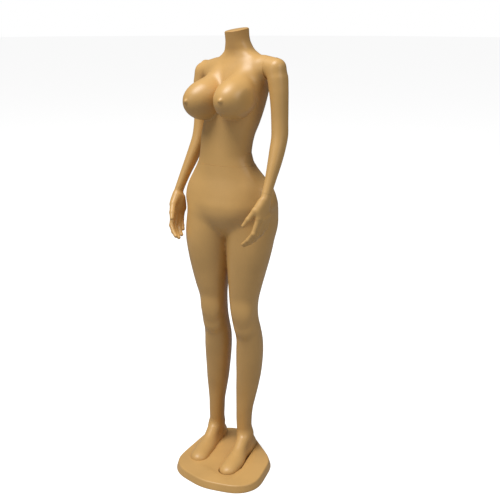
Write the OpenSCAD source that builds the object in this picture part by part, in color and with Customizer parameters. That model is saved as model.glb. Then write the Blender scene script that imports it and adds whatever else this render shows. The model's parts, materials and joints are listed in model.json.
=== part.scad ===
// Full-body female mannequin: a hollow moulded figure in sections that lift apart,
// standing on a low base with a recess under each foot.
// The origin is at the middle of the base, on the floor; the feet point along -Y.

/* [Mouldings] */
// Wall thickness of the body mouldings
wall = 3; // [2.5:0.5:4]
// Gap at a seam between two mouldings
seam = 0.3; // [0.2:0.1:0.6]
// Height of the waist seam above the floor
waist_z = 1150; // [1145:1:1155]
// Distance of each shoulder seam from the middle of the chest
shoulder_x = 132; // [131:0.5:134]
// Height of the cut neck above the floor
neck_z = 1596; // [1590:1:1600]

/* [Base] */
// Height of the base top above the floor
base_h = 28; // [27:0.5:32]
// Height of the recess floors above the floor
sole_z = 15; // [14:0.5:16]
// How far the base spreads from its top edge to its foot
base_flare = 9; // [6:1:12]
// Gap round each foot in its recess
foot_gap = 3; // [2:0.5:4]
// Thickness of the steel ballast plate
plate_t = 3; // [2:0.5:3]
// Height of the rubber pads
pad_h = 4; // [3:0.5:4]

/* [Fittings] */
// Diameter of the steel foot pegs
peg_d = 12; // [10:0.5:14]
// Height of the pegs above the recess floors
peg_h = 50; // [40:1:55]
// Diameter of the waist spigot
spigot_d = 36; // [30:1:40]
// Height of the waist spigot above the seam
spigot_h = 30; // [25:1:35]
// Diameter of the shoulder discs
disc_d = 50; // [44:1:52]
// Width across the square tongue that carries each arm
tongue = 18; // [14:1:20]
// Length of each tongue outside its disc
tongue_l = 18; // [14:1:20]
// Diameter of the wrist pegs
wrist_d = 10; // [8:0.5:11]
// Clearance round every peg, tongue and screw
clear = 0.3; // [0.25:0.05:0.4]

/* [Hidden] */

skin = "#d8b07a";
steel = "#b9bcc0";
zinc = "#9aa0a6";
nylon = "#e6e2d6";
rubber = "#2b2b2d";
board = "#8d9196";

$fn = 48;
squareness = 2.2;
fine = 0.01;
screw_d = 4;
head_d = 8;
head_h = 2.4;
screw_hole_d = screw_d + 2 * clear;
head_hole_d = head_d + 2 * clear;
round_sides = 24;
hole_sides = 12;

// Sections of the body: height, middle x and y, half width, depth to the front, depth to the
// back, and turn about the vertical.
trunk = [
    [900, 13, 12, 40, 52, 70, -10],
    [935, 13, 12, 92, 84, 104, -10],
    [970, 13, 12, 142, 100, 117, -10],
    [1005, 13, 11, 169, 103, 114, -10],
    [1040, 12, 9, 170, 96, 100, -10],
    [1075, 11, 6, 158, 87, 86, -10],
    [1110, 6, 4, 134, 78, 76, -11],
    [1145, 1, 2, 110, 72, 69, -13],
    [1180, -2, 2, 97, 69, 66, -15],
    [1215, 0, 4, 97, 69, 66, -16],
    [1250, 5, 7, 100, 71, 69, -17],
    [1285, 15, 11, 104, 75, 74, -18],
    [1320, 23, 16, 107, 79, 80, -19],
    [1360, 29, 22, 112, 83, 84, -20],
    [1400, 32, 27, 120, 82, 82, -20],
    [1440, 34, 31, 128, 74, 74, -20],
    [1470, 35, 34, 129, 62, 62, -20],
    [1492, 35, 36, 114, 52, 53, -20],
    [1510, 37, 36, 84, 46, 48, -20],
    [1528, 37, 34, 57, 43, 44, -20],
    [1550, 35, 28, 44, 41, 42, -20],
    [1615, 34, 12, 40, 42, 40, -20],
];
left_leg = [
    [20, 43, 74, 25, 40, 55, 0],
    [45, 43, 74, 27, 34, 54, 0],
    [75, 42, 73, 26.5, 30, 43, 0],
    [110, 39, 69, 27, 30, 35, 0],
    [160, 39, 66, 28.5, 31, 34, 0],
    [200, 42, 64, 30.5, 33, 36, 0],
    [250, 48, 63, 36, 37, 43, 0],
    [300, 55, 59, 41, 42, 52, 0],
    [350, 62, 53, 44.5, 46, 60, 0],
    [400, 67, 46, 47, 49, 64, 0],
    [450, 71, 39, 48, 50, 64, 0],
    [500, 73, 31, 46.5, 50, 59, 0],
    [540, 69, 23, 47, 50, 55, 0],
    [580, 64, 14, 47, 51, 53, 0],
    [620, 62, 8, 48.5, 53, 53, 0],
    [660, 63, 5, 52, 56, 56, 0],
    [700, 67, 4, 57.5, 62, 62, 0],
    [760, 74, 3, 67, 70, 70, 0],
    [820, 81, 3, 76, 78, 78, 0],
    [880, 86, 5, 83, 84, 86, 0],
    [940, 88, 7, 85, 85, 90, 0],
    [990, 86, 8, 80, 80, 86, 0],
    [1030, 76, 8, 62, 64, 70, 0],
    [1070, 60, 8, 36, 40, 44, 0],
];
right_leg = [
    [20, -100, 130, 25, 40, 55, 0],
    [45, -100, 130, 27, 34, 54, 0],
    [75, -98, 127, 26.5, 30, 43, 0],
    [110, -94, 120, 27, 30, 35, 0],
    [160, -91, 114, 28.5, 31, 34, 0],
    [200, -88, 109, 29.5, 32, 35, 0],
    [250, -84, 105, 35, 36, 41, 0],
    [300, -79, 97, 40, 41, 50, 0],
    [350, -74, 88, 43, 44, 58, 0],
    [400, -69, 78, 46, 47, 63, 0],
    [450, -64, 67, 48, 49, 63, 0],
    [500, -60, 56, 47.5, 49, 58, 0],
    [540, -60, 45, 46, 49, 54, 0],
    [580, -62, 36, 46.5, 50, 51, 0],
    [620, -62, 29, 47, 52, 51, 0],
    [660, -63, 24, 49.5, 55, 54, 0],
    [700, -66, 20, 56, 61, 62, 0],
    [760, -69, 17, 67, 69, 72, 0],
    [820, -70, 15, 77, 78, 82, 0],
    [880, -70, 14, 84, 84, 90, 0],
    [940, -66, 14, 85, 85, 94, 0],
    [990, -61, 14, 80, 80, 88, 0],
    [1030, -50, 13, 62, 64, 70, 0],
    [1070, -34, 12, 36, 40, 44, 0],
];
// The arms are given in the chest's own frame.
left_arm_rows = [
    [1020, 201, -98, 14, 20, 20, 0],
    [1060, 197, -80, 14.5, 20, 20, 0],
    [1100, 196, -62, 17, 21.5, 21.5, 0],
    [1160, 194, -36, 22, 26, 27, 0],
    [1200, 192, -20, 25, 28.5, 28, 0],
    [1240, 190, -7, 26, 29, 29, 0],
    [1290, 186, -2, 26.5, 28.5, 29.5, 0],
    [1340, 182, 1, 27.5, 30, 31, 0],
    [1400, 175, 4, 30.5, 33, 34, 0],
    [1440, 168, 6, 32.5, 35.5, 36, 0],
    [1464, 162, 6, 33, 34, 34, 0],
];
right_arm_rows = [
    [1020, 203, -110, 14, 20, 20, 0],
    [1060, 199, -92, 14.5, 20, 20, 0],
    [1100, 194, -73, 17, 21.5, 21.5, 0],
    [1160, 184, -44, 22, 26, 27, 0],
    [1200, 177, -26, 25, 28.5, 28, 0],
    [1240, 172, -11, 26, 29, 29, 0],
    [1290, 170, -2, 26.5, 28.5, 29.5, 0],
    [1340, 170, 1, 27.5, 30, 31, 0],
    [1400, 169, 4, 30.5, 33, 34, 0],
    [1440, 166, 6, 32.5, 35.5, 36, 0],
    [1464, 162, 6, 33, 34, 34, 0],
];

// The palm and the fingers, from the wrist: thumb first, each with its knuckle, two joints and tip,
// and the radius at each
palm_rows = [
    [-92, -4, -16, 6, 24, 22, 0],
    [-80, -4, -15, 11, 31, 29, 0],
    [-60, -5, -14, 14, 34, 30, 0],
    [-36, -4, -11, 16, 31, 26, 0],
    [-16, -2, -6, 15.5, 24, 22, 0],
    [4, 0, 0, 14.6, 20.3, 20.3, 0],
    [30, -1, 12, 16.3, 21.1, 21.1, 0],
];
fingers = [
    [[-4, -16, -18, 13], [-16, -42, -50, 11.5], [-32, -58, -78, 9.5], [-45, -68, -98, 7]],
    [[-6, -38, -80, 10], [-13, -54, -126, 8.5], [-32, -59, -148, 7.5], [-52, -62, -163, 6]],
    [[-2, -22, -84, 10], [-12, -40, -134, 8.5], [-34, -48, -158, 7.5], [-56, -52, -170, 6]],
    [[0, -6, -80, 9.5], [-9, -22, -128, 8], [-28, -30, -152, 7], [-45, -34, -163, 6]],
    [[2, 7, -72, 8.5], [-3, -4, -112, 7], [-14, -10, -134, 6], [-26, -15, -147, 5]],
];

// Frames: the chest turns to its right of the feet, and its left side rides high.
chest_at = [34, 26];
chest_turn = -21;
chest_tilt = 0.08;
tilt_from = 1180;
tilt_to = 1380;
hip_at = [13, 12];
hip_turn = -10;
neck_at = [2, -8];
neck_slope = [9, -4.5, 0];
shoulder_yz = [6, 1466];
wrist_lean = -21.5;
wrist_left = [197, -78, 1060];
wrist_right = [199, -90, 1060];
// How far each hand is turned outwards on its wrist at rest
turn_left = 0;
turn_right = 16;
foot_left = [43, 74];
foot_right = [-100, 130];

// Circles whose hull is the base's top outline and, about the foot's own middle, a foot's outline
base_circles = [[82, -124, 84], [10, -90, 118], [-50, -60, 118], [50, -20, 112], [-45, 110, 105]];
foot_circles = [[0, 31, 27], [1, -148, 35], [-3, -185, 30]];
ballast_inset = 6;
base_screw_at = [[120, -110], [0, -172], [-120, -105], [-148, 20], [-30, 178], [112, 40]];
pad_at = [[120, -80], [60, -160], [-90, -130], [-130, 0], [-75, 170], [80, 90], [0, 0]];
pad_d = 24;
base_boss_d = 14;
peg_back = 14;
peg_flange_d = 34;
peg_screw_d = 8;
peg_screw_head_d = 14;
peg_screw_head_h = 3;
socket_wall = 3;
ankle_flange_d = 40;

// Waist and shoulder fittings
waist_at = [1, 2];
waist_turn = -13;
waist_half = [104, 68];
waist_t = 6;
waist_screw_at = [[78, 30], [-78, 30], [78, -30], [-78, -30]];
key_w = 8;
key_out = 4;
key_from = 6;
stud_d = 12;
stud_l = 16;
washer_d = 64;
washer_t = 3;
spigot_nut_af = 19;
spigot_nut_h = 8;
waist_boss_d = 12;
waist_screw_l = 24;
shelf_in = 70;
shelf_gap = 28;
shelf_t = 8;
disc_t = 5;
shaft_d = 10;
shaft_clear = 0.1;
plate_x = shoulder_x - 12;
hub_x = shoulder_x - seam / 2 - disc_t;
shoulder_pad_t = 6;
shoulder_screw_r = 18;
nut_af = 17;
nut_h = 6;
spring_t = 3;
spring_d = 24;
arm_face = shoulder_x + seam / 2;
arm_flange_t = 6;
arm_screw_d = 3;
arm_screw_head_d = 6;
arm_screw_head_h = 2;
arm_screw_r = 20;
tongue_socket_d = tongue * sqrt(2) + 7;
wrist_flange_d = 18;
wrist_flange_t = 3.5;

function point(p) = [p[0], p[1], p[2]];
function clamp(v, low, high) = min(max(v, low), high);
function smooth(a, b, v) = let (t = clamp((v - a) / (b - a), 0, 1)) t * t * (3 - 2 * t);
function slope(rows, i) = (rows[i + 1] - rows[i]) / (rows[i + 1][0] - rows[i][0]);
function tangent(rows, i) =
    i == 0 ? slope(rows, 0)
    : i == len(rows) - 1 ? slope(rows, i - 1)
    : let (below = rows[i][0] - rows[i - 1][0], above = rows[i + 1][0] - rows[i][0])
        (slope(rows, i - 1) * above + slope(rows, i) * below) / (above + below);
// The section at height z, on a smooth curve through the rows
function section(rows, z) =
    let (
        i = clamp(len([for (r = rows) if (r[0] <= z) r]) - 1, 0, len(rows) - 2),
        h = rows[i + 1][0] - rows[i][0],
        t = clamp((z - rows[i][0]) / h, 0, 1)
    )
    rows[i] * (2 * t * t * t - 3 * t * t + 1) + tangent(rows, i) * h * (t * t * t - 2 * t * t + t)
    + rows[i + 1] * (3 * t * t - 2 * t * t * t) + tangent(rows, i + 1) * h * (t * t * t - t * t);
function power(v) = sign(v) * pow(abs(v), 2 / squareness);
// How far a point beside the chest's middle rises with the chest's tilt
function chest_rise(x, y, z) =
    chest_tilt * smooth(tilt_from, tilt_to, z)
    * ((x - chest_at[0]) * cos(chest_turn) + (y - chest_at[1]) * sin(chest_turn));
function ring_point(s, angle, inset, tilted) =
    let (
        u = (s[3] - inset) * power(cos(angle)),
        v = ((sin(angle) < 0 ? s[4] : s[5]) - inset) * power(sin(angle)),
        x = s[1] + u * cos(s[6]) - v * sin(s[6]),
        y = s[2] + u * sin(s[6]) + v * cos(s[6])
    )
    [x, y, s[0] + (tilted ? chest_rise(x, y, s[0]) : 0)];

function at_height(s, z) = [z, s[1], s[2], s[3], s[4], s[5], s[6]];
// Ring heights: the sections' own, each gap split into equal parts
function ring_heights(rows, low, high, parts) = concat(
    [low],
    [
        for (i = [0:len(rows) - 2])
            for (k = [0:parts - 1])
                let (z = rows[i][0] + (rows[i + 1][0] - rows[i][0]) * k / parts)
                    if (z > low + 1 && z < high - 1) z
    ],
    [high]
);
// A closed skin through the sections of one limb between two heights
module limb(rows, low, high, parts, sides, inset = 0, tilted = false) {
    heights = ring_heights(rows, low, high, parts);
    rings = len(heights) - 1;
    points = [
        for (z = heights)
            let (s = section(rows, z))
                for (i = [0:sides - 1]) ring_point(at_height(s, z), 360 * i / sides, inset, tilted)
    ];
    skin_faces = [
        for (k = [0:rings - 1])
            for (i = [0:sides - 1])
                let (j = (i + 1) % sides)
                    for (f = [
                        [k * sides + i, (k + 1) * sides + i, (k + 1) * sides + j],
                        [k * sides + i, (k + 1) * sides + j, k * sides + j],
                    ]) f
    ];
    ends = [
        [for (i = [0:sides - 1]) i],
        [for (i = [sides - 1:-1:0]) rings * sides + i],
    ];
    polyhedron(points, concat(skin_faces, ends));
}
module ellipsoid(at, half, turn = [0, 0, 0], sides = 24)
    translate(at) rotate(turn) scale(half) sphere(1, $fn = sides);
module bone(a, b, ra, rb, sides = 16) {
    hull() {
        translate(a) sphere(ra, $fn = sides);
        translate(b) sphere(rb, $fn = sides);
    }
}
// Joins and cuts its children as one closed skin
module moulding() resize([0, 0, 0]) children();
module chest_frame() translate([chest_at[0], chest_at[1], 0]) rotate([0, 0, chest_turn]) children();
// The chest frame with its tilt, for soft shapes only
module tilted_chest(side = 1)
    chest_frame() multmatrix([[1, 0, 0, 0], [0, 1, 0, 0], [chest_tilt, 0, 1, 0], [0, 0, 0, 1]])
        mirror([side < 0 ? 1 : 0, 0, 0]) children();
module hip_frame(side) translate([hip_at[0], hip_at[1], 0]) rotate([0, 0, hip_turn])
    mirror([side < 0 ? 1 : 0, 0, 0]) children();
// +X runs out along the shoulder axis from the seam plane
module shoulder_frame(side)
    chest_frame() mirror([side < 0 ? 1 : 0, 0, 0])
        translate([0, shoulder_yz[0], shoulder_yz[1] + side * chest_tilt * shoulder_x]) children();
function wrist_point(side) = side > 0 ? wrist_left : wrist_right;
function hand_turn(side) = side > 0 ? turn_left : turn_right;
// +Z runs up the forearm from the wrist seam
module wrist_frame(side)
    chest_frame() mirror([side < 0 ? 1 : 0, 0, 0])
        translate(wrist_point(side) + [0, 0, side * chest_tilt * wrist_point(side)[0]])
            rotate([wrist_lean, 0, 0]) children();
// Turns a soft shape about the forearm's line through the wrist
module about_forearm(angle)
    rotate([wrist_lean, 0, 0]) rotate([0, 0, angle]) rotate([-wrist_lean, 0, 0]) children();
module neck_frame() chest_frame() translate([neck_at[0], neck_at[1], neck_z]) rotate(neck_slope) children();
module foot_frame(side)
    translate(side > 0 ? foot_left : foot_right) mirror([side < 0 ? 1 : 0, 0, 0]) children();
module waist_frame() translate([waist_at[0], waist_at[1], waist_z]) rotate([0, 0, waist_turn]) children();
module half_space(at, turn) translate(at) rotate(turn) translate([-500, -500, 0]) cube([1000, 1000, 1000]);
module along_x() rotate([0, 90, 0]) children();

// ---- Base ----
module outline(circles, grow) {
    hull() for (c = circles) translate([c[0], c[1]]) circle(c[2] + grow, $fn = 32);
}
module slab(circles, grow, low, high)
    translate([0, 0, low]) linear_extrude(high - low) outline(circles, grow);
module base_block(inset, low) {
    hull() {
        slab(base_circles, base_flare - inset, low, low + fine);
        slab(base_circles, base_flare * 0.35 - inset, base_h - 4 - inset, base_h - 4 - inset + fine);
        slab(base_circles, -inset, base_h - 1.2 - inset, base_h - 1.2 - inset + fine);
        slab(base_circles, -3 - inset, base_h - inset - fine, base_h - inset);
    }
}
module foot_recess(grow, low)
    for (side = [-1, 1]) foot_frame(side) slab(foot_circles, foot_gap + grow, low, base_h + 1);
module at_each(places) for (p = places) translate([p[0], p[1], 0]) children();
module peg_places() for (side = [-1, 1]) foot_frame(side) translate([0, peg_back, 0]) children();
module base_shell() color(skin) moulding() {
    difference() {
        union() {
            difference() {
                base_block(0, 1.5);
                base_block(wall, -wall);
            }
            intersection() {
                base_block(0, pad_h + plate_t);
                union() {
                    foot_recess(wall, sole_z - wall);
                    at_each(base_screw_at) translate([0, 0, pad_h + plate_t])
                        cylinder(d = base_boss_d, h = base_h, $fn = hole_sides);
                }
            }
        }
        foot_recess(0, sole_z);
        peg_places() cylinder(d = peg_d + 2 * clear, h = base_h, $fn = round_sides);
        at_each(base_screw_at) cylinder(d = screw_hole_d, h = base_h - 2 * wall, $fn = hole_sides);
    }
}
module base_plate() color(board) difference() {
    translate([0, 0, pad_h]) linear_extrude(plate_t) ballast_outline();
    translate([0, 0, pad_h - 1]) {
        at_each(base_screw_at) cylinder(d = screw_hole_d, h = plate_t + 2);
        peg_places() cylinder(d = peg_screw_d + 2 * clear, h = plate_t + 2);
    }
}
// The ballast plate's outline: tangent points on the base circles, worked out direction by direction
function support(circles, angle, i) =
    circles[i][0] * cos(angle) + circles[i][1] * sin(angle) + circles[i][2];
function farthest(circles, angle) = max([for (i = [0:len(circles) - 1]) support(circles, angle, i)]);
function tangent_point(circles, angle, grow) =
    let (
        best = farthest(circles, angle),
        c = [for (i = [0:len(circles) - 1]) if (support(circles, angle, i) >= best - fine) circles[i]][0]
    )
    [c[0] + (c[2] + grow) * cos(angle), c[1] + (c[2] + grow) * sin(angle)];
module ballast_outline() polygon([for (a = [0:6:354]) tangent_point(base_circles, a, -ballast_inset)]);
module base_pads() color(rubber) at_each(pad_at) cylinder(d = pad_d, h = pad_h);
module screw(length) {
    cylinder(d = screw_d, h = length);
    translate([0, 0, -head_h]) cylinder(d = head_d, h = head_h);
}
module base_screws() color(zinc) at_each(base_screw_at) translate([0, 0, pad_h]) screw(plate_t + 12);
module foot_peg(side) color(steel) foot_frame(side) translate([0, peg_back, 0]) difference() {
    union() {
        translate([0, 0, pad_h + plate_t]) cylinder(d = peg_flange_d, h = sole_z - wall - pad_h - plate_t);
        translate([0, 0, sole_z - wall]) cylinder(d = peg_d, h = wall + peg_h - 2);
        translate([0, 0, sole_z + peg_h - 2]) cylinder(d1 = peg_d, d2 = peg_d - 3, h = 2);
    }
    translate([0, 0, pad_h]) cylinder(d = peg_screw_d + 2 * clear, h = 24);
}
module left_foot_peg() foot_peg(1);
module right_foot_peg() foot_peg(-1);
module peg_screws() color(zinc) peg_places() translate([0, 0, pad_h]) {
    cylinder(d = peg_screw_d, h = 22);
    translate([0, 0, -peg_screw_head_h]) cylinder(d = peg_screw_head_d, h = peg_screw_head_h);
}

// ---- Pelvis and legs ----
module foot_solid(inset, sides) {
    ellipsoid([0, 30, 22], [27 - inset, 31 - inset, 26 - inset], sides = sides);
    bone([-1, 0, 74], [0, -98, 27], 26 - inset, 22 - inset, sides);
    ellipsoid([1, -140, 15], [35 - inset, 66 - inset, 24 - inset], sides = sides + 4);
    ellipsoid([0, -48, 18], [29 - inset, 108 - inset, 26 - inset], sides = sides);
    ellipsoid([-3, -182, 11], [30 - inset, 33 - inset, 18 - inset], sides = sides);
}
module lower_solid(inset, top, parts, sides) {
    seat = [80 - inset, 76 - inset, 88 - inset];
    limb(trunk, 900 + inset, top, parts, sides + 8, inset);
    for (leg = [left_leg, right_leg]) limb(leg, 20 + inset, 1070 - inset, parts, sides, inset);
    for (side = [-1, 1]) {
        hip_frame(side) ellipsoid([70, 46, 950], seat, sides = sides - 4);
        foot_frame(side) intersection() {
            translate([0, 0, sole_z]) foot_solid(inset, sides * 2 / 3);
            half_space([0, 0, sole_z + inset], [0, 0, 0]);
        }
    }
}
module waist_bosses(low, high) waist_frame() at_each(waist_screw_at)
    translate([0, 0, low]) cylinder(d = waist_boss_d, h = high - low, $fn = hole_sides);
module waist_shelves(low) waist_frame() for (side = [-1, 1])
    translate([side > 0 ? shelf_in : -2 * shelf_in, -shelf_in / 2, low])
        cube([shelf_in, shelf_in, shelf_t]);
module waist_screw_holes(low) waist_frame() at_each(waist_screw_at)
    translate([0, 0, low]) cylinder(d = screw_hole_d, h = waist_screw_l + 3, $fn = hole_sides);
module lower_body() color(skin) moulding() difference() {
    union() {
        difference() {
            lower_solid(0, waist_z - seam / 2, 1, 24);
            lower_solid(wall, waist_z + 5, 1, 12);
        }
        intersection() {
            limb(trunk, 1100, waist_z - waist_t, 1, 24, 1);
            union() {
                waist_bosses(-shelf_gap - 2, -waist_t);
                waist_shelves(-shelf_gap - shelf_t);
            }
        }
    }
    waist_screw_holes(-waist_screw_l - 2);
    peg_places() translate([0, 0, sole_z - 1])
        cylinder(d = peg_d + 2 * socket_wall + 1, h = 10, $fn = round_sides);
}
module foot_socket(side) color(nylon) foot_frame(side) translate([0, peg_back, sole_z]) difference() {
    union() {
        cylinder(d = peg_d + 2 * socket_wall, h = peg_h + 4);
        translate([0, 0, left_leg[0][0] + wall - sole_z]) cylinder(d = ankle_flange_d, h = socket_wall);
    }
    translate([0, 0, -1]) cylinder(d = peg_d + 2 * clear, h = peg_h + 2);
}
module left_foot_socket() foot_socket(1);
module right_foot_socket() foot_socket(-1);
function waist_outline(inset) = [
    for (a = [0:6:354]) [(waist_half[0] - inset) * power(cos(a)), (waist_half[1] - inset) * power(sin(a))],
];
module key_way(h) translate([key_from, -key_w / 2 - clear, 0])
    cube([spigot_d / 2 + key_out + clear - key_from, key_w + 2 * clear, h]);
// A waist board from its face at z = 0 up or down by its thickness, with counterbored screw holes
module waist_board(inset, bore) difference() {
    linear_extrude(waist_t) polygon(waist_outline(inset));
    translate([0, 0, -1]) cylinder(d = bore + 2 * clear, h = waist_t + 2);
    translate([0, 0, -1]) {
        key_way(waist_t + 2);
        at_each(waist_screw_at) {
            cylinder(d = screw_hole_d, h = waist_t + 2);
            cylinder(d = head_hole_d, h = head_h + clear + 1);
        }
    }
}
module flat_screw() {
    translate([0, 0, clear / 2]) cylinder(d = head_d, h = head_h);
    translate([0, 0, clear / 2]) cylinder(d = screw_d, h = waist_screw_l);
}
module waist_plate() color(board) waist_frame() mirror([0, 0, 1]) waist_board(4, stud_d);
module waist_spigot() color(steel) waist_frame() {
    cylinder(d = spigot_d, h = spigot_h - 4);
    translate([0, 0, spigot_h - 4]) cylinder(d1 = spigot_d, d2 = spigot_d - 8, h = 4);
    translate([0, 0, -waist_t - stud_l]) cylinder(d = stud_d, h = waist_t + stud_l + 1);
    translate([key_from + 2, -key_w / 2, -waist_t])
        cube([spigot_d / 2 + key_out - key_from - 2, key_w, waist_t + spigot_h - 6]);
}
module hex_nut(across, bore, h) difference() {
    cylinder(d = across / cos(30), h = h, $fn = 6);
    translate([0, 0, -1]) cylinder(d = bore + 2 * clear, h = h + 2);
}
module spigot_nut() color(zinc) waist_frame() translate([0, 0, -waist_t - washer_t - spigot_nut_h])
    hex_nut(spigot_nut_af, stud_d, spigot_nut_h);
module spigot_washer() color(zinc) waist_frame() translate([0, 0, -waist_t - washer_t]) difference() {
    cylinder(d = washer_d, h = washer_t);
    translate([0, 0, -1]) cylinder(d = stud_d + 2 * clear, h = washer_t + 2);
}
module waist_plate_screws() color(zinc) waist_frame() mirror([0, 0, 1])
    at_each(waist_screw_at) flat_screw();

// ---- Chest ----
module breast(side, inset, sides) tilted_chest(side) {
    ellipsoid([67, -95, 1370], [63 - inset, 80 - inset, 65 - inset], [-8, 0, 8], sides);
    bone([63, -82, 1386], [56, -14, 1456], 57 - inset, 34 - inset, sides - 4);
    if (inset == 0) ellipsoid([78, -173, 1374], [7, 8, 7], sides = 10);
}
module shoulder_stub(side, inset)
    tilted_chest(side) bone([105, 10, 1474], [162, 6, 1464], 36 - inset, 34 - inset, 20);
module torso_solid(inset, low, parts, sides) {
    limb(trunk, low, 1615, parts, sides, inset, tilted = true);
    for (side = [-1, 1]) {
        breast(side, inset, sides - 10);
        shoulder_stub(side, inset);
    }
}
module torso_shell() color(skin) moulding() difference() {
    union() {
        difference() {
            torso_solid(0, waist_z + seam / 2, 1, 32);
            torso_solid(wall, waist_z - 5, 1, 18);
        }
        intersection() {
            torso_solid(1, waist_z + waist_t, 1, 18);
            union() {
                waist_bosses(waist_t, shelf_gap + 2);
                waist_shelves(shelf_gap);
                for (side = [-1, 1]) shoulder_frame(side) translate([plate_x - shoulder_pad_t, 0, 0])
                    along_x() cylinder(r = 38, h = shoulder_pad_t, $fn = round_sides);
            }
        }
    }
    for (side = [-1, 1]) shoulder_frame(side) {
        half_space([shoulder_x - seam / 2, 0, 0], [0, 90, 0]);
        translate([plate_x - shoulder_pad_t - 2, 0, 0]) {
            along_x() cylinder(d = spring_d + 3, h = shoulder_pad_t + 3, $fn = round_sides);
            shoulder_screw_places() cylinder(d = screw_hole_d, h = shoulder_pad_t + 3, $fn = hole_sides);
        }
    }
    neck_frame() half_space([0, 0, 0], [0, 0, 0]);
    waist_screw_holes(-1);
}
module torso_waist_plate() color(board) waist_frame() waist_board(8, spigot_d);
module waist_socket() color(nylon) waist_frame() difference() {
    union() {
        translate([0, 0, waist_t]) cylinder(d = spigot_d + 20, h = spigot_h);
        translate([0, 0, waist_t]) cylinder(d = washer_d + 16, h = 5);
    }
    translate([0, 0, waist_t - 1]) cylinder(d = spigot_d + 2 * clear, h = spigot_h - 4);
    translate([0, 0, waist_t - 1]) key_way(spigot_h - 4);
}
module torso_waist_screws() color(zinc) waist_frame() at_each(waist_screw_at) flat_screw();
function oval(rx, ry) = [for (a = [0:6:354]) [rx * cos(a), ry * sin(a)]];
module neck_cap() color(skin) neck_frame() {
    translate([0, 0, seam / 2]) linear_extrude(2) polygon(oval(39, 40));
    translate([0, 0, -6]) linear_extrude(6 + seam) polygon(oval(34, 35));
}

// ---- Shoulders ----
module shoulder_screw_places() along_x() for (a = [30:120:270])
    rotate([0, 0, a]) translate([shoulder_screw_r, 0, 0]) children();
module shoulder_plate(side) color(board) shoulder_frame(side) translate([plate_x, 0, 0]) difference() {
    along_x() cylinder(d = disc_d, h = disc_t);
    translate([-1, 0, 0]) along_x() cylinder(d = shaft_d + 2 * shaft_clear, h = disc_t + 2);
    translate([-1, 0, 0]) shoulder_screw_places() cylinder(d = screw_hole_d, h = disc_t + 2);
    translate([disc_t - head_h - clear, 0, 0])
        shoulder_screw_places() cylinder(d = head_hole_d, h = head_h + 1);
}
module left_shoulder_plate() shoulder_plate(1);
module right_shoulder_plate() shoulder_plate(-1);
module shoulder_screws() color(zinc) for (side = [-1, 1]) shoulder_frame(side) {
    translate([plate_x - shoulder_pad_t, 0, 0])
        shoulder_screw_places() cylinder(d = screw_d, h = disc_t + shoulder_pad_t - clear);
    translate([plate_x + disc_t - head_h - clear / 2, 0, 0])
        shoulder_screw_places() cylinder(d = head_d, h = head_h);
}
module shoulder_hub(side) color(steel) shoulder_frame(side) {
    shaft_from = plate_x - spring_t - nut_h - 4;
    translate([hub_x, 0, 0]) along_x() cylinder(d = disc_d, h = disc_t);
    translate([shaft_from, 0, 0]) along_x() cylinder(d = shaft_d, h = hub_x + 1 - shaft_from);
    translate([hub_x + disc_t - 1, -tongue / 2, -tongue / 2]) cube([tongue_l + 1, tongue, tongue]);
}
module left_shoulder_hub() shoulder_hub(1);
module right_shoulder_hub() shoulder_hub(-1);
module shoulder_spring(side) color(steel) shoulder_frame(side) translate([plate_x - spring_t, 0, 0])
    along_x() difference() {
        cylinder(d = spring_d, h = spring_t);
        translate([0, 0, -1]) cylinder(d = shaft_d + 2 * shaft_clear, h = spring_t + 2);
    }
module left_shoulder_spring() shoulder_spring(1);
module right_shoulder_spring() shoulder_spring(-1);
module shoulder_nut(side) color(zinc) shoulder_frame(side) translate([plate_x - spring_t - nut_h, 0, 0])
    along_x() hex_nut(nut_af, shaft_d, nut_h);
module left_shoulder_nut() shoulder_nut(1);
module right_shoulder_nut() shoulder_nut(-1);

// ---- Arms and hands ----
module arm_solid(side, inset, parts, sides) tilted_chest(side) {
    limb(side > 0 ? left_arm_rows : right_arm_rows, 1022, 1464 - inset, parts, sides, inset);
    bone([105, 10, 1474], [162, 6, 1464], 36 - inset, 34 - inset, sides);
}
module arm_screw_places() along_x() for (a = [90, 270])
    rotate([0, 0, a]) translate([arm_screw_r, 0, 0]) children();
module arm_shell(side) color(skin) moulding() difference() {
    union() {
        difference() {
            arm_solid(side, 0, 2, 20);
            arm_solid(side, wall, 1, 12);
        }
        intersection() {
            arm_solid(side, 1, 1, 12);
            shoulder_frame(side) translate([arm_face + disc_t + fine, 0, 0])
                along_x() cylinder(r = 40, h = arm_flange_t, $fn = round_sides);
        }
    }
    shoulder_frame(side) {
        half_space([arm_face, 0, 0], [0, -90, 0]);
        translate([arm_face + disc_t - 1, 0, 0])
            along_x() cylinder(d = tongue_socket_d + 2, h = arm_flange_t + 2, $fn = round_sides);
        translate([arm_face, 0, 0])
            arm_screw_places() cylinder(d = arm_screw_d + 2 * clear, h = 12, $fn = hole_sides);
    }
    wrist_frame(side) half_space([0, 0, seam / 2], [180, 0, 0]);
}
module left_arm_shell() arm_shell(1);
module right_arm_shell() arm_shell(-1);
module arm_fitting(side) color(nylon) shoulder_frame(side) difference() {
    union() {
        translate([arm_face, 0, 0]) along_x() cylinder(d = disc_d, h = disc_t);
        translate([arm_face, 0, 0]) along_x() cylinder(d = tongue_socket_d, h = tongue_l + 4);
    }
    translate([arm_face - 1, -tongue / 2 - clear, -tongue / 2 - clear])
        cube([tongue_l + 2, tongue + 2 * clear, tongue + 2 * clear]);
    translate([arm_face - 1, 0, 0]) arm_screw_places() {
        cylinder(d = arm_screw_d + 2 * clear, h = disc_t + 2);
        cylinder(d = arm_screw_head_d + 2 * clear, h = arm_screw_head_h + 1 + clear);
    }
}
module left_arm_fitting() arm_fitting(1);
module right_arm_fitting() arm_fitting(-1);
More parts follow.
